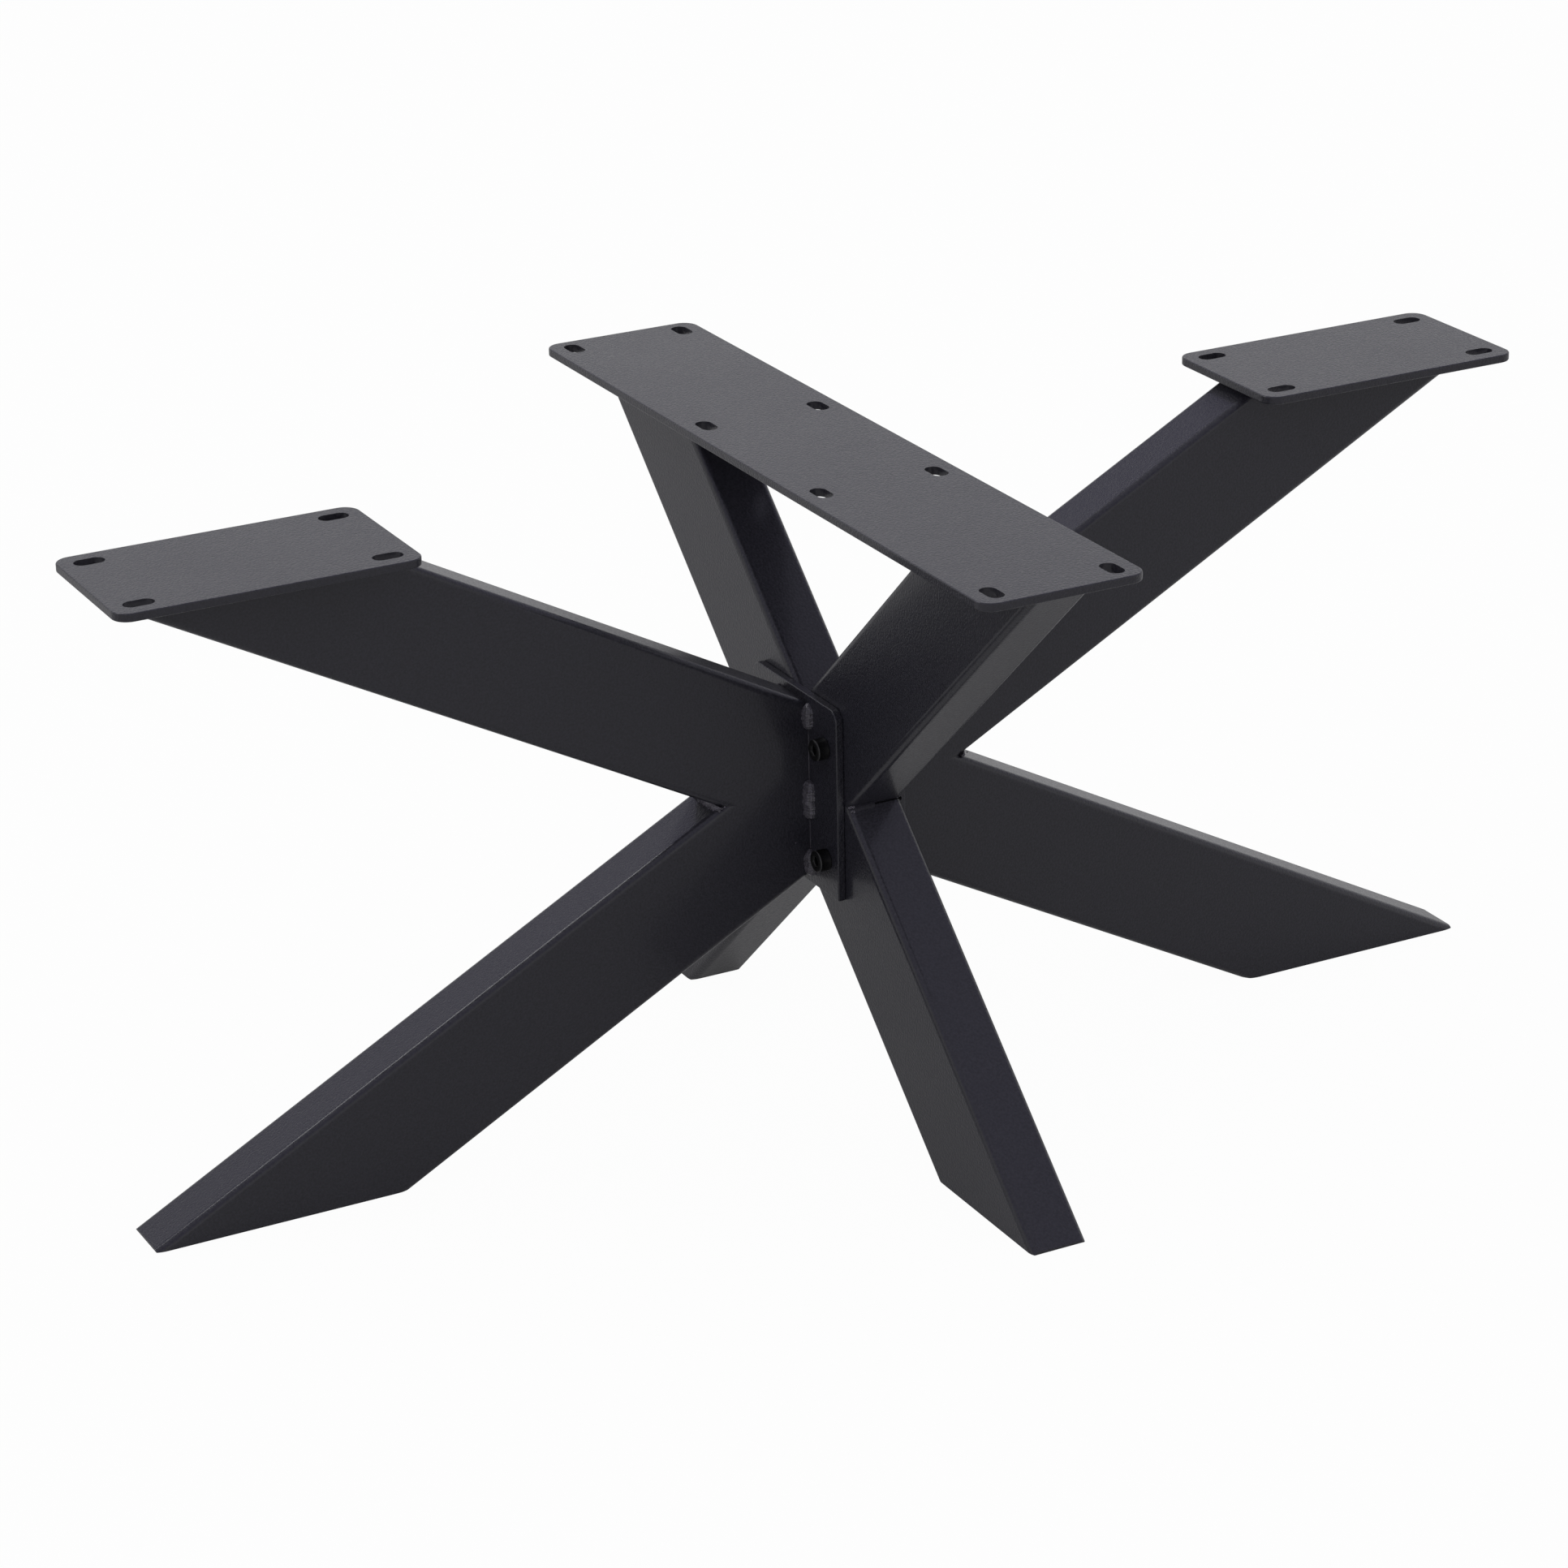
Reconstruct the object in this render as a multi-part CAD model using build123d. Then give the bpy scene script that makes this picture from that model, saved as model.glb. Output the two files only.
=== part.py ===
from build123d import *
import math
import os

# Spider table base: three welded frames of rectangular steel tube, bolted together in the middle.
# Sizes are in millimetres. X runs along the base, Y across it and Z up. The origin is on the floor,
# under the middle of the base. Angles are in degrees, up from the floor.

# Reach and height
base_height = 400
side_reach = 452            # from the middle to the sharp toe of a side leg
side_notch = 81             # from the middle to the inner corner of a side frame's V
centre_reach = 271          # from the middle to the sharp toe of a centre leg
tip_height = 1.5            # height of the blunt end that is left on each sharp toe

# Tube
tube_width = 76
tube_depth = 36
tube_wall = 2
tube_corner = 4.5

# Plates
plate_thickness = 5
plate_corner = 10
plate_edge_round = 0.8
side_plate_length = 180
side_plate_width = 105
side_plate_overhang = 3     # past the sharp toe
centre_plate_width = 103
centre_plate_overhang = 4   # past the sharp toe

# Slots for the table top's screws
slot_length = 18
slot_width = 10
side_slot_inset_x = 17.5    # slot centre to the plate's end
side_slot_inset_y = 14
centre_slot_inset_x = 14
centre_slot_inset_y = 16
centre_slot_inner_spacing = 144
centre_slot_inner_shift = 5  # of both inner slots in a row, towards the back

# Feet
foot_cap_thickness = 3
heel_chamfer = 2.8          # along the sole and along the tube

# Flange between a side frame and the centre frame
flange_thickness = 5
flange_width = 105
flange_lip = 5              # above and below the arms
flange_top_corner = 8
flange_bottom_corner = 1.5
screw_distance = 52.4       # from the screws' middle, along a centre arm's axis
screw_drop = 2              # from the tubes' middle down to the screws' middle

# Cap screws and their threaded bushes
screw_diameter = 8
screw_length = 16
head_diameter = 13
head_height = 8
head_round = 0.8
socket_across_flats = 6
socket_depth = 4
screw_hole_clearance = 0.5  # on the radius, in the flange
bush_diameter = 14
bush_length = 12
bush_clearance = 0.05       # on the radius, in the tube's wall
thread_clearance = 0.1      # on the radius, the thread is left plain

# Weld beads
bead_radius = 5.5
end_bead_length = 17
middle_bead_length = 25
middle_bead_drop = 6
notch_bead_radius = 7
centre_notch_bead_length = 18     # from a side of the tube inwards
centre_notch_bead_radius = 3.5

# Worked out from the sizes above
plate_underside = base_height - plate_thickness
mid_height = plate_underside / 2
side_angle = math.degrees(math.atan2(mid_height, side_reach - side_notch))
centre_diagonal = math.hypot(centre_reach, mid_height)
centre_lean = math.asin(tube_width / 2 / centre_diagonal)
centre_angle = math.degrees(math.atan2(mid_height, centre_reach) + centre_lean)
flange_face = tube_depth / 2 + flange_thickness
sin_side = math.sin(math.radians(side_angle))
cos_side = math.cos(math.radians(side_angle))
tan_side = sin_side / cos_side
sin_centre = math.sin(math.radians(centre_angle))
cos_centre = math.cos(math.radians(centre_angle))
joint_half_height = tube_width / cos_side - (side_notch - flange_face) * tan_side
flange_height = 2 * (joint_half_height + flange_lip)
centre_notch = tube_width / 2 / sin_centre
screw_y = screw_distance * cos_centre
screw_z = screw_distance * sin_centre
screw_mid_height = mid_height - screw_drop
stock_reach = 2 * side_reach      # either way from its middle, past the ends of any arm
cutter_length = 2 * tube_depth    # of what cuts right through a tube or a plate

LOW = Align.MIN
MID = Align.CENTER
HALF_TURN = Rot(0, 0, 180)
UPSIDE_DOWN = Plane.XY.offset(mid_height)


def tube_stock(filled=False):
    """A straight tube along X, its width in Z and its depth in Y."""
    section = RectangleRounded(tube_depth, tube_width, tube_corner)
    if not filled:
        bore_depth = tube_depth - 2 * tube_wall
        bore_width = tube_width - 2 * tube_wall
        section -= RectangleRounded(bore_depth, bore_width, tube_corner - tube_wall)
    return extrude(Plane.YZ * section, amount=stock_reach, both=True)


def side_stock(filled=False):
    """The tube of the right upper arm before it is cut: its lower face passes the V's inner corner."""
    centre_x = side_notch - sin_side * tube_width / 2
    centre_z = mid_height + cos_side * tube_width / 2
    return Pos(centre_x, 0, centre_z) * Rot(0, -side_angle, 0) * tube_stock(filled)


def centre_stock(filled=False):
    """The tube of the back upper arm before it is cut: its axis passes the middle of the base."""
    return Pos(0, 0, mid_height) * Rot(0, 0, 90) * Rot(0, -centre_angle, 0) * tube_stock(filled)


def side_span(low, high):
    """The space of a right arm between two heights, from the flange to the blunt toe."""
    length = side_reach - tip_height / tan_side - flange_face
    return Pos(flange_face, 0, low) * Box(length, cutter_length, high - low, align=(LOW, MID, LOW))


def centre_span(low, high):
    """The space of a back arm between two heights, from the middle to the blunt toe."""
    length = centre_reach - tip_height * cos_centre / sin_centre
    return Pos(0, 0, low) * Box(cutter_length, length, high - low, align=(MID, LOW, LOW))


def heel_cut(reach, angle):
    """What is ground off a leg's heel, as a block under a plane along X that halves the heel's angle."""
    heel = reach - tube_width / math.sin(math.radians(angle))
    block = Box(tube_width, cutter_length, tube_width, align=(MID, MID, Align.MAX))
    return Pos(heel + heel_chamfer, 0, 0) * Rot(0, angle / 2, 0) * Pos(-tube_width / 2, 0, 0) * block


def side_upper_arm():
    return side_stock() & side_span(mid_height, plate_underside)


def side_lower_leg():
    stock = mirror(side_stock(), about=UPSIDE_DOWN)
    return (stock & side_span(foot_cap_thickness, mid_height)) - heel_cut(side_reach, side_angle)


def side_foot_cap():
    stock = mirror(side_stock(filled=True), about=UPSIDE_DOWN)
    return (stock & side_span(0, foot_cap_thickness)) - heel_cut(side_reach, side_angle)


def bush_hole(side):
    """A hole through both walls of a back arm, above (side 1) or below (side -1) the middle."""
    place = Pos(0, screw_y, screw_mid_height + side * screw_z) * Rot(0, 90, 0)
    return place * Cylinder(bush_diameter / 2 + bush_clearance, cutter_length)


def centre_upper_arm():
    return (centre_stock() & centre_span(mid_height, plate_underside)) - bush_hole(1)


def centre_lower_leg():
    stock = mirror(centre_stock(), about=UPSIDE_DOWN)
    heel = Rot(0, 0, 90) * heel_cut(centre_reach, centre_angle)
    return (stock & centre_span(foot_cap_thickness, mid_height)) - heel - bush_hole(-1)


def centre_foot_cap():
    stock = mirror(centre_stock(filled=True), about=UPSIDE_DOWN)
    heel = Rot(0, 0, 90) * heel_cut(centre_reach, centre_angle)
    return (stock & centre_span(0, foot_cap_thickness)) - heel


def soften(plate, axis):
    """Rounds the outline's edges on both faces of a plate."""
    faces = plate.faces().sort_by(axis)
    return fillet(faces[0].edges() + faces[-1].edges(), plate_edge_round)


def flat_plate(length, width, slots):
    """A plate on the arms' upper ends, centred on the Z axis, with its slots cut through."""
    plate = extrude(RectangleRounded(length, width, plate_corner), amount=plate_thickness)
    plate = soften(plate, Axis.Z)
    cut = extrude(slots, amount=plate_thickness)
    return Pos(0, 0, plate_underside) * (plate - cut)


def side_top_plate():
    spacing_x = side_plate_length - 2 * side_slot_inset_x
    spacing_y = side_plate_width - 2 * side_slot_inset_y
    slots = Sketch() + GridLocations(spacing_x, spacing_y, 2, 2) * SlotOverall(slot_length, slot_width)
    plate = flat_plate(side_plate_length, side_plate_width, slots)
    return Pos(side_reach + side_plate_overhang - side_plate_length / 2, 0, 0) * plate


def centre_top_plate():
    length = 2 * (centre_reach + centre_plate_overhang)
    spacing_x = centre_plate_width - 2 * centre_slot_inset_x
    slot = SlotOverall(slot_length, slot_width, rotation=90)
    slots = Sketch() + GridLocations(spacing_x, length - 2 * centre_slot_inset_y, 2, 2) * slot
    inner = Pos(0, centre_slot_inner_shift, 0) * GridLocations(spacing_x, centre_slot_inner_spacing, 2, 2)
    slots += inner * slot
    return flat_plate(centre_plate_width, length, slots)


def screw_places(x):
    """The four screw axes on the plane at x, each turned to point along +X."""
    return [
        Pos(x, y, screw_mid_height + z) * Rot(0, 90, 0)
        for y in (-screw_y, screw_y)
        for z in (-screw_z, screw_z)
    ]


def flange_plate():
    outline = Rectangle(flange_width, flange_height)
    outline = fillet(outline.vertices().group_by(Axis.Y)[-1], flange_top_corner)
    outline = fillet(outline.vertices().group_by(Axis.Y)[0], flange_bottom_corner)
    plate = extrude(Plane.YZ * outline, amount=flange_thickness)
    plate = Pos(tube_depth / 2, 0, mid_height) * soften(plate, Axis.X)
    for place in screw_places(flange_face):
        plate -= place * Cylinder(screw_diameter / 2 + screw_hole_clearance, cutter_length)
    return plate


def cap_screw():
    """A socket head cap screw along +Z, with the underside of its head at the origin."""
    head = Cylinder(head_diameter / 2, head_height, align=(MID, MID, LOW))
    head = fillet(head.edges().group_by(Axis.Z)[-1], head_round)
    socket = extrude(RegularPolygon(socket_across_flats / 2, 6, major_radius=False), amount=socket_depth)
    head -= Pos(0, 0, head_height - socket_depth) * socket
    return head + Cylinder(screw_diameter / 2, screw_length, align=(MID, MID, Align.MAX))


def thread_bush():
    """A threaded bush along Z, with its outer end at the origin and its length below it."""
    bush = Cylinder(bush_diameter / 2, bush_length, align=(MID, MID, Align.MAX))
    return bush - Cylinder(screw_diameter / 2 + thread_clearance, cutter_length)


def bead(radius, length):
    """A round-ended weld bead along Z, centred on the origin."""
    straight = length - 2 * radius
    body = Cylinder(radius, straight)
    return body + Pos(0, 0, straight / 2) * Sphere(radius) + Pos(0, 0, -straight / 2) * Sphere(radius)


def flange_welds():
    """Three beads in the corner between the flange and each side of the arms."""
    end_height = joint_half_height - end_bead_length / 2
    beads = [
        Pos(0, 0, end_height) * bead(bead_radius, end_bead_length),
        Pos(0, 0, -middle_bead_drop) * bead(bead_radius, middle_bead_length),
        Pos(0, 0, -end_height) * bead(bead_radius, end_bead_length),
    ]
    corner = Box(2 * bead_radius, 2 * bead_radius, flange_height, align=(LOW, LOW, MID))
    group = [Pos(flange_face, tube_depth / 2, mid_height) * (b & corner) for b in beads]
    return group + [mirror(b, about=Plane.XZ) for b in group]


def side_notch_weld():
    """The bead in the inner corner of the V, without what the two arms take of it."""
    rod = Rot(90, 0, 0) * Cylinder(notch_bead_radius, tube_depth)
    weld = Pos(side_notch, 0, mid_height) * rod
    upper = side_stock(filled=True)
    return weld - upper - mirror(upper, about=UPSIDE_DOWN)


def centre_notch_weld():
    """The bead along part of the inner corner between the back upper arm and the back leg."""
    rod = Rot(0, 90, 0) * Cylinder(centre_notch_bead_radius, centre_notch_bead_length)
    middle = (tube_depth - centre_notch_bead_length) / 2
    weld = Pos(middle, centre_notch, mid_height) * rod
    upper = centre_stock(filled=True)
    return weld - upper - mirror(upper, about=UPSIDE_DOWN)


def placed(location, pieces):
    """One piece, or a group of separate pieces, moved to its place."""
    if isinstance(pieces, list):
        return Compound(children=[location * piece for piece in pieces])
    return location * pieces


nodes = {}

centre_pieces = {
    "centre_upper_arm": centre_upper_arm(),
    "centre_lower_leg": centre_lower_leg(),
    "centre_foot_cap": centre_foot_cap(),
    "centre_notch_weld": centre_notch_weld(),
}
for name, piece in centre_pieces.items():
    nodes[name + "_back"] = piece
    nodes[name + "_front"] = placed(HALF_TURN, piece)
nodes["centre_top_plate"] = centre_top_plate()

side_pieces = {
    "top_plate": side_top_plate(),
    "upper_arm": side_upper_arm(),
    "lower_leg": side_lower_leg(),
    "foot_cap": side_foot_cap(),
    "notch_weld": side_notch_weld(),
    "flange_plate": flange_plate(),
    "flange_welds": flange_welds(),
    "cap_screws": [place * cap_screw() for place in screw_places(flange_face)],
    "thread_bushes": [place * thread_bush() for place in screw_places(tube_depth / 2)],
}
for name, piece in side_pieces.items():
    nodes["right_" + name] = placed(Pos(0, 0, 0), piece)
    nodes["left_" + name] = placed(HALF_TURN, piece)

os.makedirs("parts", exist_ok=True)
for name, shape in nodes.items():
    export_step(shape, f"parts/{name}.step")
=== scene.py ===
import math
import random

import bmesh
import bpy
from bpy.props import FloatProperty, FloatVectorProperty, IntProperty, PointerProperty
from mathutils import Matrix, Vector, noise


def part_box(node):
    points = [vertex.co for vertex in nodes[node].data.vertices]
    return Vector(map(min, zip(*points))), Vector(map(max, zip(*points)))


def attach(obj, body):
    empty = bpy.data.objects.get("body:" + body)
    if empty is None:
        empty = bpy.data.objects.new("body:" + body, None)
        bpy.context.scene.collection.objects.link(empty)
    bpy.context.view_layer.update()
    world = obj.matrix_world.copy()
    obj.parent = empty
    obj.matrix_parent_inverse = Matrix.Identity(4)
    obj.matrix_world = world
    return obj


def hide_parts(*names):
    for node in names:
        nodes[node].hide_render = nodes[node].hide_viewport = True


bl_info = {
    "name": "Spider Table Base",
    "version": (1, 0, 0),
    "blender": (4, 5, 0),
    "location": "3D View > Sidebar > Table Base",
    "description": "Dresses a welded steel table base: powder coat, weld beads, cap screws, white studio",
    "category": "Object",
}

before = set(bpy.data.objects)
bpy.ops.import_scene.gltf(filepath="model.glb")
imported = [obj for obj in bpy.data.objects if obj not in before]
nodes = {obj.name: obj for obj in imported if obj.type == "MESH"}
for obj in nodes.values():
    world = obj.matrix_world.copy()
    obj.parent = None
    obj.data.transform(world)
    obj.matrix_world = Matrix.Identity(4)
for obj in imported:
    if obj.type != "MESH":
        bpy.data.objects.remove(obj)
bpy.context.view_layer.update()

SIDES = {"left": -1, "right": 1}
ENDS = {"front": -1, "back": 1}
BODY = "root"

arm_low, arm_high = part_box("right_upper_arm")
screws_low, screws_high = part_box("right_cap_screws")
side_notch_low, side_notch_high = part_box("right_notch_weld")
centre_notch_low, centre_notch_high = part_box("centre_notch_weld_back")
flange_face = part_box("right_flange_plate")[1].x
centre_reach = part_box("centre_upper_arm_back")[1].y
mid_height = arm_low.z
half_depth = arm_high.y
rise = arm_high.z - mid_height
joint_half_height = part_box("right_flange_welds")[1].z - mid_height
side_notch = (side_notch_low.x + side_notch_high.x) / 2
side_slope = math.atan2(rise, arm_high.x - side_notch)
centre_notch = (centre_notch_low.y + centre_notch_high.y) / 2
centre_slope = math.atan2(rise, centre_reach - centre_notch)


class CoatSettings(bpy.types.PropertyGroup):
    """The powder coat on all welded steel."""

    colour: FloatVectorProperty(
        name="Colour", description="Colour of the powder coat", subtype="COLOR", size=3,
        min=0, max=1, default=(0.0139, 0.0135, 0.0188),
    )
    # Lighter than the coat: painted highlight for the light that the beads' curved faces catch.
    lit_weld_colour: FloatVectorProperty(
        name="Weld colour", description="Colour of the coat on the weld beads", subtype="COLOR", size=3,
        min=0, max=1, default=(0.046, 0.043, 0.053),
    )
    roughness: FloatProperty(
        name="Roughness", description="Mean roughness of the coat", min=0, max=1, default=0.4,
    )
    grain_size: FloatProperty(
        name="Grain size", description="Width of one grain of the coat", subtype="DISTANCE", default=0.0014,
    )
    grain_depth: FloatProperty(
        name="Grain depth", description="Height of a grain", subtype="DISTANCE", default=0.0007,
    )


class WeldSettings(bpy.types.PropertyGroup):
    """The beads that join the arms to the flanges and to each other."""

    arm_leg: FloatProperty(
        name="Leg on the arm", description="How far a bead reaches over the arm", subtype="DISTANCE",
        default=0.0045,
    )
    flange_leg: FloatProperty(
        name="Leg on the flange", description="How far a bead reaches over the flange", subtype="DISTANCE",
        default=0.0064,
    )
    crown: FloatProperty(
        name="Crown", description="How far a bead bulges", subtype="DISTANCE", default=0.0015,
    )
    ripple_pitch: FloatProperty(
        name="Ripple pitch", description="Length of one ripple", subtype="DISTANCE", default=0.0017,
    )
    ripple_depth: FloatProperty(
        name="Ripple depth", description="Height of a ripple", subtype="DISTANCE", default=0.00032,
    )
    end_length: FloatProperty(
        name="End bead", description="Length of the top and bottom beads", subtype="DISTANCE", default=0.017,
    )
    middle_length: FloatProperty(
        name="Middle bead", description="Length of the middle bead", subtype="DISTANCE", default=0.025,
    )
    middle_drop: FloatProperty(
        name="Middle drop", description="How far the middle bead sits below the middle", subtype="DISTANCE",
        default=0.006,
    )
    seam_leg: FloatProperty(
        name="Seam", description="Width of the coat's fillet between the beads", subtype="DISTANCE",
        default=0.0003,
    )
    notch_leg: FloatProperty(
        name="Notch leg", description="How far a bead in a side notch reaches over each arm",
        subtype="DISTANCE", default=0.0052,
    )
    spatter: IntProperty(
        name="Spatter", description="Drops of spatter beside each row of beads", min=0, max=40, default=2,
    )


class ScrewSettings(bpy.types.PropertyGroup):
    """The socket head cap screws."""

    head_diameter: FloatProperty(
        name="Head", description="Diameter of the head", subtype="DISTANCE", default=0.013,
    )
    head_height: FloatProperty(
        name="Head height", description="Height of the head", subtype="DISTANCE", default=0.008,
    )
    shank_diameter: FloatProperty(
        name="Shank", description="Diameter of the thread", subtype="DISTANCE", default=0.008,
    )
    thread_pitch: FloatProperty(
        name="Pitch", description="Pitch of the thread", subtype="DISTANCE", default=0.00125,
    )
    socket_flats: FloatProperty(
        name="Socket", description="Width across the socket's flats", subtype="DISTANCE", default=0.006,
    )
    socket_depth: FloatProperty(
        name="Socket depth", description="Depth of the socket", subtype="DISTANCE", default=0.004,
    )
    knurls: IntProperty(
        name="Knurls", description="Grooves round the head", min=0, max=96, default=48,
    )
    colour: FloatVectorProperty(
        name="Colour", description="Colour of the black oxide", subtype="COLOR", size=3, min=0, max=1,
        default=(0.0022, 0.0022, 0.0023),
    )


class StudioSettings(bpy.types.PropertyGroup):
    """The floor, the lamps and the camera."""

    fill: FloatProperty(
        name="Fill", description="Strength of the light from all round", min=0, max=2, default=0.95,
    )
    top_power: FloatProperty(
        name="Top lamp", description="Power of the lamp overhead", subtype="POWER", default=0.6,
    )
    back_power: FloatProperty(
        name="Back lamp", description="Power of the lamp behind on the left", subtype="POWER", default=2.5,
    )
    left_power: FloatProperty(
        name="Left lamp", description="Power of the lamp in front on the left", subtype="POWER", default=2.4,
    )
    edge_power: FloatProperty(
        name="Edge lamp", description="Power of the lamp that draws a light line on rounded edges",
        subtype="POWER", default=11,
    )
    floor_white: FloatProperty(
        name="Floor white", description="Share of the floor's white that no shadow darkens", min=0, max=1,
        default=0.97,
    )
    floor_shine: FloatProperty(
        name="Floor in reflections", description="The same share, where a shiny surface shows the floor",
        min=0, max=1, default=0.18,
    )
    floor_size: FloatProperty(
        name="Floor", description="Length of the floor's side", subtype="DISTANCE", default=30,
    )
    floor_gap: FloatProperty(
        name="Floor gap", description="How far the floor lies under the feet", subtype="DISTANCE",
        default=0.0002,
    )
    camera_place: FloatVectorProperty(
        name="Camera", description="Place of the camera", subtype="TRANSLATION", size=3,
        default=(-1.2071, -2.2730, 1.2497),
    )
    azimuth: FloatProperty(
        name="Azimuth", description="Direction of view, from +Y towards +X", subtype="ANGLE",
        default=math.radians(27.365),
    )
    elevation: FloatProperty(
        name="Elevation", description="Direction of view, up from level", subtype="ANGLE",
        default=math.radians(-22.373),
    )
    roll: FloatProperty(
        name="Roll", description="Turn of the camera about its line of view", subtype="ANGLE",
        default=math.radians(-1.208),
    )
    lens: FloatProperty(
        name="Lens", description="Focal length in millimetres on a 36 mm wide sensor", default=106.53,
    )


class TableBaseSettings(bpy.types.PropertyGroup):
    """All settings of the table base."""

    coat: PointerProperty(type=CoatSettings, name="Powder coat", description="The coat on the steel")
    weld: PointerProperty(type=WeldSettings, name="Welds", description="The weld beads")
    screw: PointerProperty(type=ScrewSettings, name="Screws", description="The cap screws")
    studio: PointerProperty(type=StudioSettings, name="Studio", description="Floor, lamps and camera")


class Wire:
    """A socket in a shader's node tree. Sums on it add Math nodes, and node() adds any other node."""

    def __init__(self, tree, socket=None):
        self.tree = tree
        self.socket = socket

    def node(self, kind, settings=None, inlets=None, outlet=0):
        """Adds a node, its settings first and then its sockets, and returns one of its outlets."""
        made = self.tree.nodes.new("ShaderNode" + kind)
        for name, value in (settings or {}).items():
            if name == "stops":
                fill_ramp(made.color_ramp, value)
            else:
                setattr(made, name, value)
        for place, value in (inlets or {}).items():
            if isinstance(value, Wire):
                self.tree.links.new(value.socket, made.inputs[place])
            else:
                made.inputs[place].default_value = value
        return Wire(self.tree, made.outputs[outlet] if made.outputs else None)

    def outlet(self, name):
        """Another outlet of this socket's node."""
        return Wire(self.tree, self.socket.node.outputs[name])

    def math(self, operation, *values):
        return self.node("Math", {"operation": operation}, dict(enumerate(values)))

    def __add__(self, other):
        return self.math("ADD", self, other)

    def __sub__(self, other):
        return self.math("SUBTRACT", self, other)

    def __rsub__(self, other):
        return self.math("SUBTRACT", other, self)

    def __mul__(self, other):
        return self.math("MULTIPLY", self, other)

    def at_most(self, other):
        return self.math("MINIMUM", self, other)

    def size(self):
        return self.math("ABSOLUTE", self)

    def stretched(self, low, high):
        """This value from 0 at low to 1 at high, held between the two."""
        return self.node("MapRange", {}, {"Value": self, "From Min": low, "From Max": high})


def fill_ramp(ramp, stops):
    """Sets a colour ramp's stops from pairs of a place and a colour."""
    while len(ramp.elements) < len(stops):
        ramp.elements.new(1)
    for element, (place, colour) in zip(ramp.elements, stops):
        element.position = place
        element.color = (*colour, 1)


def blank(owner):
    """The empty node tree of a material or world."""
    owner.use_nodes = True
    owner.node_tree.nodes.clear()
    return Wire(owner.node_tree)


def blend_colours(sheet, share, first, second):
    """A colour between two, as a share of the second."""
    inlets = {"Factor": share, 6: first, 7: second}
    return sheet.node("Mix", {"data_type": "RGBA"}, inlets, outlet=2)


def tint(colour, factor):
    """A colour made lighter or darker, with full opacity."""
    return (*(min(1, part * factor) for part in colour), 1)


def speckle(sheet, size, detail, stretch=(1, 1, 1)):
    """Noise whose spots are about as wide as size, in metres, on the object's own coordinates."""
    place = sheet.node("TexCoord", outlet="Object")
    place = sheet.node("Mapping", {"vector_type": "POINT"}, {"Vector": place, "Scale": stretch})
    return sheet.node("TexNoise", {}, {"Vector": place, "Scale": 1 / size, "Detail": detail})


def surface(sheet, colour, roughness, height, depth, constants):
    """Ends a material in one Principled shader with a bump."""
    normal = sheet.node("Bump", {}, {"Height": height, "Distance": depth, "Strength": 1.0})
    inlets = {"Base Color": colour, "Roughness": roughness, "Normal": normal, **constants}
    shader = sheet.node("BsdfPrincipled", {}, inlets)
    sheet.node("OutputMaterial", {}, {"Surface": shader})


def coat_paint(name, colour, roughness, settings, grain_depth, streak=(1, 1, 1), spread=0.2, gloss=1.0):
    """Fine textured powder coat: grain, a slow orange peel, and a slight change of tone by the spread."""
    made = bpy.data.materials.get(name)
    if made:
        return made
    peel_size = 4 * settings.grain_size
    cloud_size = 0.09
    cloud_share = 0.15
    peel_share = 0.08
    grain_roughness = 0.16
    cloud_roughness = 0.08
    made = bpy.data.materials.new(name)
    sheet = blank(made)
    grain = speckle(sheet, settings.grain_size, 3, streak)
    peel = speckle(sheet, peel_size, 2)
    cloud = speckle(sheet, cloud_size, 3)
    tone = grain.stretched(0.35, 0.65) * (1 - cloud_share) + cloud * cloud_share
    shade = blend_colours(sheet, tone, tint(colour, 1 - spread), tint(colour, 1 + spread))
    smoothest = roughness - (grain_roughness + cloud_roughness) / 2
    rough = grain.stretched(0.3, 0.7) * grain_roughness + cloud * cloud_roughness + smoothest
    height = grain * (1 - peel_share) + peel * peel_share
    shine = {"Specular IOR Level": 0.2 * gloss, "Coat Weight": 0.36 * gloss, "Coat Roughness": 0.16}
    surface(sheet, shade, rough, height, grain_depth, shine)
    return made


def tube_coat():
    """The coat on the tubes, with a shallow grain."""
    coat = bpy.context.scene.table_base.coat
    return coat_paint("tube_coat", coat.colour, coat.roughness, coat, 0.65 * coat.grain_depth, spread=0.28)


def plate_coat():
    """The coat on the plates, where it lies thicker and its grain is deeper."""
    coat = bpy.context.scene.table_base.coat
    return coat_paint("plate_coat", coat.colour, coat.roughness, coat, 1.15 * coat.grain_depth)


def lit_weld_coat(name, streak, factor=1.0):
    """The same coat on a bead, in a lighter colour that is painted highlight, with streaks where the scale
    along the bead is low.
    """
    coat = bpy.context.scene.table_base.coat
    colour = tint(coat.lit_weld_colour, factor)[:3]
    return coat_paint(name, colour, coat.roughness - 0.05, coat, 2 * coat.grain_depth, streak, 0.45)


def upright_bead_coat():
    """The coat on the beads along the flanges, in the beads' painted highlight, streaked upwards."""
    return lit_weld_coat("bead_coat", (1.1, 1.1, 0.2))


def level_bead_coat():
    """The coat on the beads in the side frames' corners, streaked from front to back, painted 1.3 times
    lighter still as highlight where the corner lies in shade.
    """
    return lit_weld_coat("notch_bead_coat", (1.1, 0.3, 1.1), 1.3)


def spatter_coat():
    """The coat on drops of spatter, painted 1.5 times lighter still as a highlight, without streaks."""
    return lit_weld_coat("spatter_coat", (1, 1, 1), 1.5)


def thin_coat():
    """The dull coat deep in a corner, where little of the powder reaches."""
    coat = bpy.context.scene.table_base.coat
    return coat_paint("thin_coat", coat.colour, 0.7, coat, coat.grain_depth, gloss=0.4)


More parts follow.
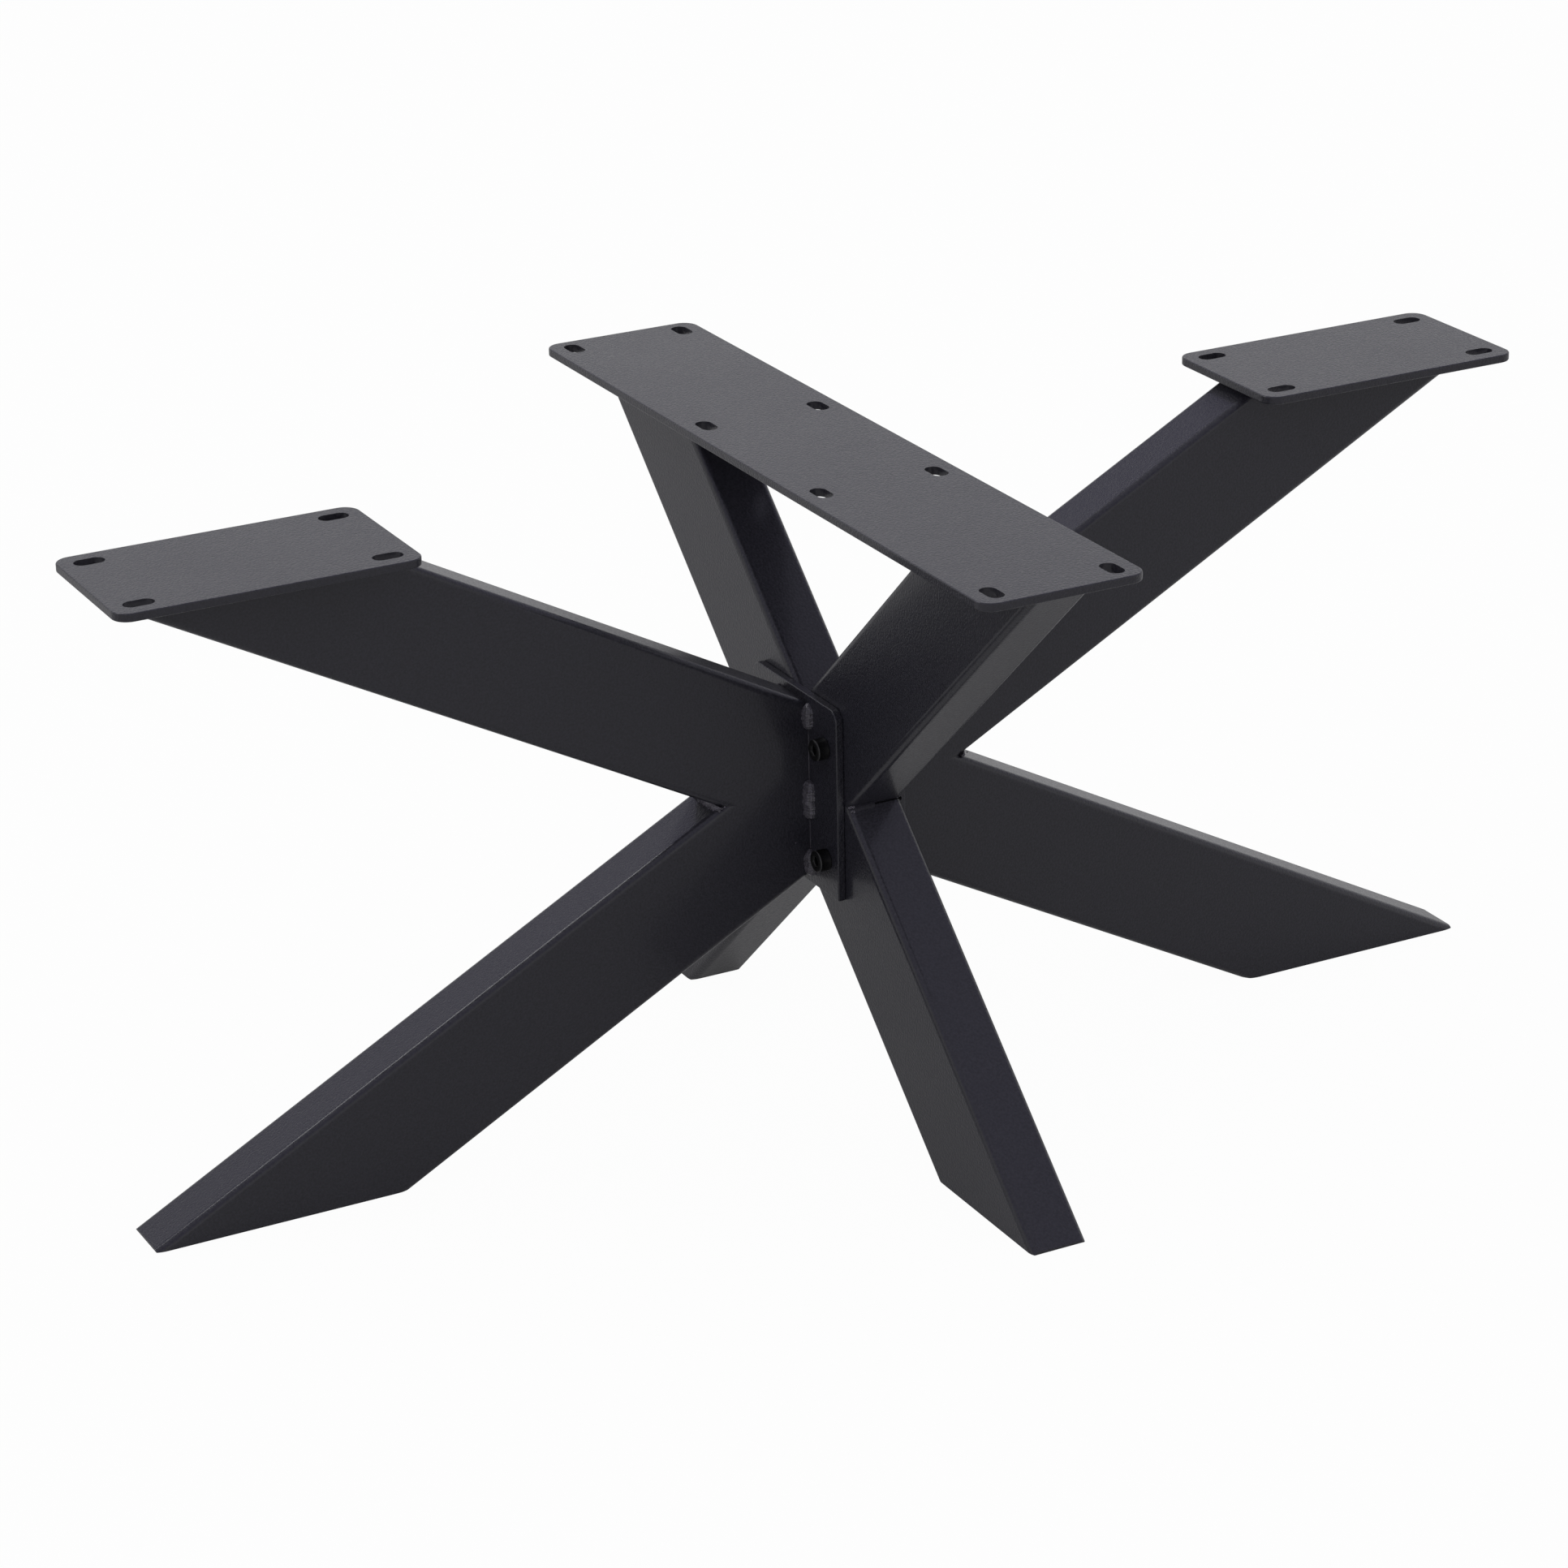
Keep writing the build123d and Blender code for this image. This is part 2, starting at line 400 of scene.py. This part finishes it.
def seam_shadow():
    """Painted shade for a narrow open seam: the coat darkened to a tenth, with a little coat in it."""
    coat = bpy.context.scene.table_base.coat
    return coat_paint("seam_painted_shade", tint(coat.colour, 0.1)[:3], 0.9, coat, coat.grain_depth, gloss=0.1)


def screw_finish():
    """Black oxide with faint handling marks, and a painted highlight in a lighter grey round the head's rim.
    """
    made = bpy.data.materials.get("black_oxide")
    if made:
        return made
    screw = bpy.context.scene.table_base.screw
    mark_size = 0.0009
    mark_depth = 0.00002
    smear_size = 0.006
    # Height and lighter grey of the painted highlight round the head's rounded rim.
    rim_place = screw.head_height - 0.0009
    rim_highlight_colour = (0.08, 0.08, 0.082, 1)
    made = bpy.data.materials.new("black_oxide")
    sheet = blank(made)
    marks = speckle(sheet, mark_size, 3)
    smears = speckle(sheet, smear_size, 2)
    place = sheet.node("TexCoord", outlet="Object")
    out = sheet.node("SeparateXYZ", {}, {0: place}, outlet="X").size() - flange_face
    # A narrow band of painted highlight at the rim: lighter and smoother than the rest of the head.
    rim_highlight = 1 - (out - rim_place).size().stretched(0.0001, 0.0004)
    oxide = blend_colours(sheet, marks, tint(screw.colour, 0.6), tint(screw.colour, 1.5))
    shade = blend_colours(sheet, rim_highlight * (marks * 0.6 + 0.4), oxide, rim_highlight_colour)
    rough = marks * 0.12 + smears * 0.2 + 0.3 - rim_highlight * 0.15
    surface(sheet, shade, rough, marks, mark_depth, {"Specular IOR Level": 0.18})
    return made


def turned_steel():
    """Bare steel with the fine rings of a lathe across the bush's axis."""
    made = bpy.data.materials.get("turned_steel")
    if made:
        return made
    ring_pitch = 0.0004
    ring_depth = 0.00002
    stain_size = 0.004
    dark, light = (0.36, 0.36, 0.37, 1), (0.5, 0.5, 0.51, 1)
    made = bpy.data.materials.new("turned_steel")
    sheet = blank(made)
    rings = speckle(sheet, ring_pitch, 2, (1, 0.02, 0.02))
    stains = speckle(sheet, stain_size, 2)
    shade = blend_colours(sheet, stains, dark, light)
    rough = rings * 0.2 + stains * 0.1 + 0.22
    surface(sheet, shade, rough, rings, ring_depth, {"Metallic": 1.0})
    return made


def coat_nodes(names, paint):
    """Gives CAD nodes one finish. Stops if a node isn't there."""
    for name in names:
        if name not in nodes:
            raise RuntimeError(f"the frame has no node named {name}")
        mesh = nodes[name].data
        mesh.materials.clear()
        mesh.materials.append(paint)


def add_piece(name, mesh_maker, paint, replaced):
    """Makes a mesh object that rides on the base and stands for the CAD nodes it replaces, if any."""
    sharp = math.radians(35)
    shape = bmesh.new()
    mesh_maker(shape)
    bmesh.ops.recalc_face_normals(shape, faces=shape.faces)
    mesh = bpy.data.meshes.new(name)
    shape.to_mesh(mesh)
    shape.free()
    mesh.shade_smooth()
    mesh.set_sharp_from_angle(angle=sharp)
    mesh.materials.append(paint)
    piece = bpy.data.objects.new(name, mesh)
    bpy.context.scene.collection.objects.link(piece)
    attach(piece, BODY)
    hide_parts(*replaced)
    return piece


def skin(shape, rings):
    """Joins rings of equal length, each closed, into a tube with a fan at each end."""
    loops = [[shape.verts.new(point) for point in ring] for ring in rings]
    for first, second in zip(loops, loops[1:]):
        for i, point in enumerate(first):
            after = (i + 1) % len(first)
            shape.faces.new((point, first[after], second[after], second[i]))
    for loop in (loops[0], loops[-1]):
        middle = shape.verts.new(sum((v.co for v in loop), Vector()) / len(loop))
        for i, point in enumerate(loop):
            shape.faces.new((point, loop[(i + 1) % len(loop)], middle))


def add_bead(shape, start, end, legs, crown, ripple, steps=3, seed=0.0, blunt=5, ragged=0.0):
    """A weld bead in a corner that runs from start to end, with a leg on each face.

    It has crescent ripples, and its back is sunk a little into the corner. Its ends are oval, or squarer the
    blunter it is, and its outline wanders by the ragged share of its legs.
    """
    weld = bpy.context.scene.table_base.weld
    sink = 0.0003
    across = 12
    crescent = 0.9
    wander_share = 0.9
    wander_rate = 180
    outline_rate = 700
    least_taper = 0.04
    run = end - start
    count = max(8, int(steps * run.length / weld.ripple_pitch))
    outward = (legs[0] + legs[1]).normalized()
    rings = []
    for i in range(count + 1):
        share = i / count
        taper = max(least_taper, 1 - abs(2 * share - 1) ** blunt) ** 0.5
        spots = [Vector((seed, outline_rate * share * run.length, toe)) for toe in (3.3, 8.1)]
        first_toe, second_toe = [taper * (1 + ragged * noise.noise(spot)) for spot in spots]
        ring = [start + run * share - outward * sink]
        for j in range(across + 1):
            turn = j / across
            arch = math.sin(math.pi * turn)
            phase = share * run.length / weld.ripple_pitch + crescent * arch
            wave = 0.5 + 0.5 * math.cos(2 * math.pi * phase)
            wander = noise.noise(Vector((seed, wander_rate * share * run.length, 1.7 * turn)))
            lift = (crown * taper + ripple * (wave + wander_share * wander)) * arch
            point = legs[0] * (1 - turn) * first_toe + legs[1] * turn * second_toe
            ring.append(start + run * share + point + outward * lift)
        rings.append(ring)
    skin(shape, rings)


def add_drop(shape, place, out, radius):
    """A low round drop of spatter on a face that looks along out."""
    turn = out.to_track_quat("Z", "Y").to_matrix().to_4x4()
    flat = Matrix.Diagonal((radius, radius, 0.6 * radius, 1))
    matrix = Matrix.Translation(place) @ turn @ flat
    bmesh.ops.create_icosphere(shape, subdivisions=2, radius=1, matrix=matrix)


def bead_spans(weld):
    """Each bead along a flange: its lowest and highest point above the middle, and how blunt its ends are."""
    top = joint_half_height
    middle = -weld.middle_drop
    half = weld.middle_length / 2
    upper = (top - weld.end_length, top, 2.2)
    lower = (-top, weld.end_length - top, 2.6)
    return [upper, (middle - half, middle + half, 7), lower]


def stitch_welds(side):
    """A maker of the beads, the seam between them and the spatter, on both sides of one arm."""
    weld = bpy.context.scene.table_base.weld
    seam_crown = 0.0001
    seam_ripple = 0.00008

    def fill(shape):
        draw = random.Random(11 + side)
        for facing in (-1, 1):
            along = Vector((side, 0, 0))
            across = Vector((0, facing, 0))
            middle = Vector((side * flange_face, facing * half_depth, mid_height))
            for low, high, blunt in bead_spans(weld):
                ends = [middle + Vector((0, 0, height)) for height in (low, high)]
                legs = along * weld.arm_leg, across * weld.flange_leg
                shift = draw.uniform(0, 9)
                add_bead(shape, *ends, legs, weld.crown, weld.ripple_depth, 5, shift, blunt, 0.22)
            ends = [middle + Vector((0, 0, height)) for height in (-joint_half_height, joint_half_height)]
            legs = along * weld.seam_leg, across * weld.seam_leg
            add_bead(shape, *ends, legs, seam_crown, seam_ripple, steps=1)
            for _ in range(weld.spatter):
                height = draw.uniform(-joint_half_height, joint_half_height)
                reach = draw.uniform(1.2, 2.4) * weld.arm_leg
                place = middle + along * reach + Vector((0, 0, height))
                add_drop(shape, place, across, draw.uniform(0.0002, 0.0005))

    return fill


def side_notch_weld(side):
    """A maker of the bead in the inner corner of one V, with drops at both of its ends."""
    weld = bpy.context.scene.table_base.weld
    proud = 0.0004
    drops = 4
    depth = side_notch_high.y + proud
    corner = Vector((side * side_notch, 0, mid_height))
    along = Vector((side * math.cos(side_slope), 0, 0))
    rising = Vector((0, 0, math.sin(side_slope)))
    legs = [(along + rising) * weld.notch_leg, (along - rising) * weld.notch_leg]

    def fill(shape):
        ends = corner + Vector((0, -depth, 0)), corner + Vector((0, depth, 0))
        crown = weld.notch_leg * (1 - math.cos(side_slope))
        add_bead(shape, *ends, legs, crown, 1.5 * weld.ripple_depth, 5, 3.0 + side, 4, 0.3)
        draw = random.Random(31 + side)
        for y in (-depth, depth):
            for _ in range(drops):
                place = corner + legs[draw.randrange(2)] * draw.uniform(-0.3, 0.9) + Vector((0, y, 0))
                add_drop(shape, place, Vector((0, y, 0)).normalized(), draw.uniform(0.0005, 0.0009))

    return fill


def centre_corner(end, leg):
    """The middle of the centre frame's inner corner at one end, and a leg along each arm from it."""
    legs = [Vector((0, end * math.cos(centre_slope), up * math.sin(centre_slope))) * leg for up in (1, -1)]
    return Vector((0, end * centre_notch, mid_height)), legs


def centre_notch_weld(end):
    """A maker of the smooth hollow bead in one half of the centre frame's inner corner."""
    hollow = 0.0006
    ripple = 0.0001
    short = 0.0003
    corner, legs = centre_corner(end, 0.8 * (centre_notch_high.y - centre_notch))

    def fill(shape):
        ends = [corner + Vector((end * x, 0, 0)) for x in (centre_notch_low.x, centre_notch_high.x - short)]
        add_bead(shape, *ends, legs, -hollow, ripple, seed=5.0 + end, blunt=14)

    return fill


def centre_notch_spatter(end):
    """A maker of the rough drops where that bead ends at the tube's side."""
    drops = 10
    corner, legs = centre_corner(end, centre_notch_high.y - centre_notch)

    def fill(shape):
        draw = random.Random(21 + end)
        for _ in range(drops):
            across = end * (centre_notch_high.x - draw.uniform(-0.0004, 0.0035))
            place = corner + Vector((across, 0, 0)) + legs[draw.randrange(2)] * draw.uniform(0.3, 1.2)
            add_drop(shape, place, Vector((end, end, 0)).normalized(), draw.uniform(0.0007, 0.0012))

    return fill


def open_seam(end):
    """A maker of a strip of painted shade where the other half of that corner is left open, with a dark drop
    at its end as the painted shade of a pit.
    """
    width = 0.0007
    ripple = 0.00008
    short = 0.001
    pit_radius = 0.0012
    corner, legs = centre_corner(end, width)

    def fill(shape):
        ends = [corner + Vector((-end * x, 0, 0)) for x in (0, centre_notch_high.x - short)]
        add_bead(shape, *ends, legs, 0.0, ripple, seed=7.0 + end, blunt=14, ragged=0.5)
        # A dark drop that stands for the pit, in the same painted shade.
        add_drop(shape, ends[1] + legs[0] + legs[1], Vector((-end, end, 0)).normalized(), pit_radius)

    return fill


def screw_rings(screw):
    """The rings of a cap screw along +Z, with the underside of its head at height 0.

    Each ring is a height and a function that gives the radius at an angle.
    """
    head = screw.head_diameter / 2
    top = screw.head_height
    shank = screw.shank_diameter / 2
    length = screws_high.x - screws_low.x - top
    flats = screw.socket_flats / 2
    floor = top - screw.socket_depth
    thread_depth = 0.0005
    point_bevel = 0.0006
    under_bevel = 0.0003
    knurl_depth = 0.0002
    knurl_slope = 0.0003
    socket_bevel = 0.0004
    drill_point = 0.0012
    plain_neck = 0.002
    edge = 0.0008
    edge_steps = 4
    sixth = math.pi / 3

    def plain(radius):
        return lambda angle: radius

    def knurled(angle):
        return head - knurl_depth * (0.5 - 0.5 * math.cos(screw.knurls * angle))

    def hexagon(scale):
        return lambda angle: scale * flats / math.cos((angle + sixth / 2) % sixth - sixth / 2)

    rings = [(-length, plain(shank - point_bevel)), (-length + point_bevel, plain(shank))]
    crests = int((length - plain_neck) / screw.thread_pitch)
    for i in range(crests):
        start = -length + point_bevel + i * screw.thread_pitch
        rings.append((start + 0.4 * screw.thread_pitch, plain(shank - thread_depth)))
        rings.append((start + 0.9 * screw.thread_pitch, plain(shank)))
    grip_low, grip_high = edge, top - 2 * edge
    rings += [(0, plain(shank)), (0, plain(head - under_bevel)), (under_bevel, plain(head))]
    rings += [(grip_low, plain(head)), (grip_low + knurl_slope, knurled)]
    rings += [(grip_high - knurl_slope, knurled), (grip_high, plain(head))]
    for i in range(edge_steps + 1):
        turn = i / edge_steps * math.pi / 2
        rings.append((top - edge + edge * math.sin(turn), plain(head - edge + edge * math.cos(turn))))
    rings += [(top, plain(1.22 * flats)), (top - socket_bevel, hexagon(1.0)), (floor, hexagon(1.0))]
    rings += [(floor - 0.0001, hexagon(0.96)), (floor - drill_point, plain(0.0006))]
    return rings


def cap_screws(side):
    """A maker of the four cap screws of one flange."""
    screw = bpy.context.scene.table_base.screw
    head = screw.head_diameter / 2
    across = screws_high.y - head
    middle = (screws_low.z + screws_high.z) / 2
    above = screws_high.z - middle - head
    segments = 2 * screw.knurls

    def fill(shape):
        draw = random.Random(5 + side)
        for y in (-across, across):
            for z in (-above, above):
                spin = draw.uniform(0, math.pi / 3)
                rings = []
                for height, radius in screw_rings(screw):
                    ring = []
                    for i in range(segments):
                        angle = 2 * math.pi * i / segments
                        out = radius(angle)
                        place = Vector((side * (flange_face + height), y, middle + z))
                        turned = angle + spin
                        ring.append(place + out * Vector((0, math.cos(turned), math.sin(turned))))
                    rings.append(ring)
                skin(shape, rings)

    return fill


class TABLEBASE_OT_top_plates(bpy.types.Operator):
    """Powder coat the three slotted top plates"""

    bl_idname = "table_base.top_plates"
    bl_label = "Coat Top Plates"

    def execute(self, context):
        coat_nodes([f"{place}_top_plate" for place in (*SIDES, "centre")], plate_coat())
        return {"FINISHED"}


class TABLEBASE_OT_tubes(bpy.types.Operator):
    """Powder coat the arms, the legs and the caps that close the feet"""

    bl_idname = "table_base.tubes"
    bl_label = "Coat Arms, Legs and Feet"

    def execute(self, context):
        pieces = ("upper_arm", "lower_leg", "foot_cap")
        names = [f"{side}_{piece}" for side in SIDES for piece in pieces]
        names += [f"centre_{piece}_{end}" for end in ENDS for piece in pieces]
        coat_nodes(names, tube_coat())
        return {"FINISHED"}


class TABLEBASE_OT_flanges(bpy.types.Operator):
    """Powder coat the flange plates"""

    bl_idname = "table_base.flanges"
    bl_label = "Coat Flanges"

    def execute(self, context):
        coat_nodes([f"{side}_flange_plate" for side in SIDES], plate_coat())
        return {"FINISHED"}


class TABLEBASE_OT_stitch_welds(bpy.types.Operator):
    """Lay the rippled beads between the flanges and the side arms"""

    bl_idname = "table_base.stitch_welds"
    bl_label = "Lay Flange Welds"

    def execute(self, context):
        for side, sign in SIDES.items():
            paint, node = upright_bead_coat(), f"{side}_flange_welds"
            add_piece(f"{side}_stitch_welds", stitch_welds(sign), paint, [node])
        return {"FINISHED"}


class TABLEBASE_OT_notch_welds(bpy.types.Operator):
    """Lay the beads in the inner corners of the side and centre frames"""

    bl_idname = "table_base.notch_welds"
    bl_label = "Lay Notch Welds"

    def execute(self, context):
        for side, sign in SIDES.items():
            paint, node = level_bead_coat(), f"{side}_notch_weld"
            add_piece(f"{side}_notch_bead", side_notch_weld(sign), paint, [node])
        for end, sign in ENDS.items():
            node = f"centre_notch_weld_{end}"
            add_piece(f"centre_notch_bead_{end}", centre_notch_weld(sign), thin_coat(), [node])
            add_piece(f"centre_spatter_{end}", centre_notch_spatter(sign), spatter_coat(), [])
            # A strip of painted shade in the open half of each corner.
            add_piece(f"centre_seam_{end}", open_seam(sign), seam_shadow(), [])
        return {"FINISHED"}


class TABLEBASE_OT_cap_screws(bpy.types.Operator):
    """Make the socket head cap screws that hold the side frames"""

    bl_idname = "table_base.cap_screws"
    bl_label = "Make Cap Screws"

    def execute(self, context):
        for side, sign in SIDES.items():
            node = f"{side}_cap_screws"
            add_piece(f"{side}_socket_screws", cap_screws(sign), screw_finish(), [node])
        return {"FINISHED"}


class TABLEBASE_OT_thread_bushes(bpy.types.Operator):
    """Give the threaded bushes their turned steel"""

    bl_idname = "table_base.thread_bushes"
    bl_label = "Finish Thread Bushes"

    def execute(self, context):
        coat_nodes([f"{side}_thread_bushes" for side in SIDES], turned_steel())
        return {"FINISHED"}


def seen(sheet, direct, mirrored):
    """One share for the camera's rays, one for rays that shiny or clear surfaces send on, 0 for the rest."""
    path = sheet.node("LightPath", outlet="Is Camera Ray")
    sent_on = (path.outlet("Is Glossy Ray") + path.outlet("Is Transmission Ray")).at_most(1)
    return path * direct + sent_on * mirrored


def white_world(studio):
    """A background that is white near the horizon and a dimmer violet above, and lights the base evenly."""
    world = bpy.data.worlds.new("white_studio")
    bpy.context.scene.world = world
    sheet = blank(world)
    direction = sheet.node("TexCoord", outlet="Generated")
    up = sheet.node("SeparateXYZ", {}, {0: direction}, outlet="Z")
    white, pale, violet, lilac = (1, 1, 1), (0.63, 0.625, 0.69), (0.35, 0.33, 0.54), (0.6, 0.59, 0.72)
    stops = (0.17, white), (0.40, pale), (0.62, violet), (0.85, lilac)
    sky = sheet.node("ValToRGB", {"stops": stops}, {"Fac": up})
    fill = sheet.node("Background", {}, {"Color": (0.98, 0.97, 1, 1), "Strength": studio.fill})
    backdrop = sheet.node("Background", {}, {"Color": sky, "Strength": 1.0})
    both = sheet.node("MixShader", {}, {0: seen(sheet, 1, 1), 1: fill, 2: backdrop})
    sheet.node("OutputWorld", {}, {"Surface": both})


def white_floor(studio):
    """A pale floor that keeps the base's shadow."""
    shape = bmesh.new()
    bmesh.ops.create_grid(shape, x_segments=1, y_segments=1, size=studio.floor_size / 2)
    mesh = bpy.data.meshes.new("floor")
    shape.to_mesh(mesh)
    shape.free()
    paint = bpy.data.materials.new("floor_white")
    sheet = blank(paint)
    matt = sheet.node("BsdfDiffuse", {}, {"Color": (0.5, 0.5, 0.5, 1)})
    glow = sheet.node("Emission", {}, {"Color": (1, 1, 1, 1), "Strength": 1.0})
    share = seen(sheet, studio.floor_white, studio.floor_shine)
    both = sheet.node("MixShader", {}, {0: share, 1: matt, 2: glow})
    sheet.node("OutputMaterial", {}, {"Surface": both})
    mesh.materials.append(paint)
    floor = bpy.data.objects.new("floor", mesh)
    floor.location.z = -studio.floor_gap
    bpy.context.scene.collection.objects.link(floor)


def add_lamp(name, place, target, power, width, height, mirrored=False):
    """A soft lamp that looks at a point. A mirrored one only shows in shiny surfaces, the others never do."""
    light = bpy.data.lights.new(name, "AREA")
    light.shape = "RECTANGLE"
    light.size = width
    light.size_y = height
    light.energy = power
    lamp = bpy.data.objects.new(name, light)
    lamp.location = place
    lamp.rotation_euler = (target - place).to_track_quat("-Z", "Y").to_euler()
    lamp.visible_glossy = mirrored
    lamp.visible_diffuse = not mirrored
    bpy.context.scene.collection.objects.link(lamp)


def add_camera(studio):
    """The camera, placed and turned as the photograph was taken."""
    lens = bpy.data.cameras.new("camera")
    lens.sensor_width = 36
    lens.lens = studio.lens
    lens.clip_end = 100
    camera = bpy.data.objects.new("camera", lens)
    turn = Matrix.Rotation(-studio.azimuth, 4, "Z")
    tilt = Matrix.Rotation(math.pi / 2 + studio.elevation, 4, "X")
    roll = Matrix.Rotation(studio.roll, 4, "Z")
    camera.matrix_world = Matrix.Translation(studio.camera_place) @ turn @ tilt @ roll
    bpy.context.scene.collection.objects.link(camera)
    bpy.context.scene.camera = camera


class TABLEBASE_OT_studio(bpy.types.Operator):
    """Set up the white floor, the soft lamps and the camera"""

    bl_idname = "table_base.studio"
    bl_label = "Set Up Studio"

    def execute(self, context):
        studio = context.scene.table_base.studio
        middle = Vector((0, 0, mid_height))
        white_world(studio)
        white_floor(studio)
        above, behind, left = Vector((-0.2, 0.2, 1.8)), Vector((-1.5, 1.5, 1.1)), Vector((-1.8, -0.6, 1.3))
        high_behind = Vector((-0.73, 0.89, 1.82))
        add_lamp("top_lamp", above, middle, studio.top_power, width=1.6, height=1.6)
        add_lamp("back_lamp", behind, middle, studio.back_power, width=1.0, height=1.0)
        add_lamp("left_lamp", left, middle, studio.left_power, width=1.2, height=1.2)
        add_lamp("edge_lamp", high_behind, middle, studio.edge_power, width=1.4, height=0.3, mirrored=True)
        add_camera(studio)
        context.scene.view_settings.view_transform = "Standard"
        return {"FINISHED"}


class TABLEBASE_PT_steps(bpy.types.Panel):
    """Lists the steps that dress the table base, with their settings"""

    bl_idname = "TABLEBASE_PT_steps"
    bl_label = "Spider Table Base"
    bl_space_type = "VIEW_3D"
    bl_region_type = "UI"
    bl_category = "Table Base"

    def draw(self, context):
        settings = context.scene.table_base
        for group in (settings.coat, settings.weld, settings.screw, settings.studio):
            box = self.layout.box()
            for name in group.bl_rna.properties.keys():
                if name not in ("rna_type", "name"):
                    box.prop(group, name)
        for step in STEPS:
            self.layout.operator(step.bl_idname)


STEPS = (
    TABLEBASE_OT_top_plates,
    TABLEBASE_OT_tubes,
    TABLEBASE_OT_flanges,
    TABLEBASE_OT_stitch_welds,
    TABLEBASE_OT_notch_welds,
    TABLEBASE_OT_cap_screws,
    TABLEBASE_OT_thread_bushes,
    TABLEBASE_OT_studio,
)
GROUPS = (CoatSettings, WeldSettings, ScrewSettings, StudioSettings, TableBaseSettings)


def register():
    for made in (*GROUPS, *STEPS, TABLEBASE_PT_steps):
        bpy.utils.register_class(made)
    bpy.types.Scene.table_base = PointerProperty(
        type=TableBaseSettings, name="Table base", description="Settings of the table base",
    )


def unregister():
    del bpy.types.Scene.table_base
    for made in reversed((*GROUPS, *STEPS, TABLEBASE_PT_steps)):
        bpy.utils.unregister_class(made)


def main():
    """Runs every step."""
    register()
    for step in STEPS:
        group, name = step.bl_idname.split(".")
        getattr(getattr(bpy.ops, group), name)()


if __name__ == "__main__":
    main()
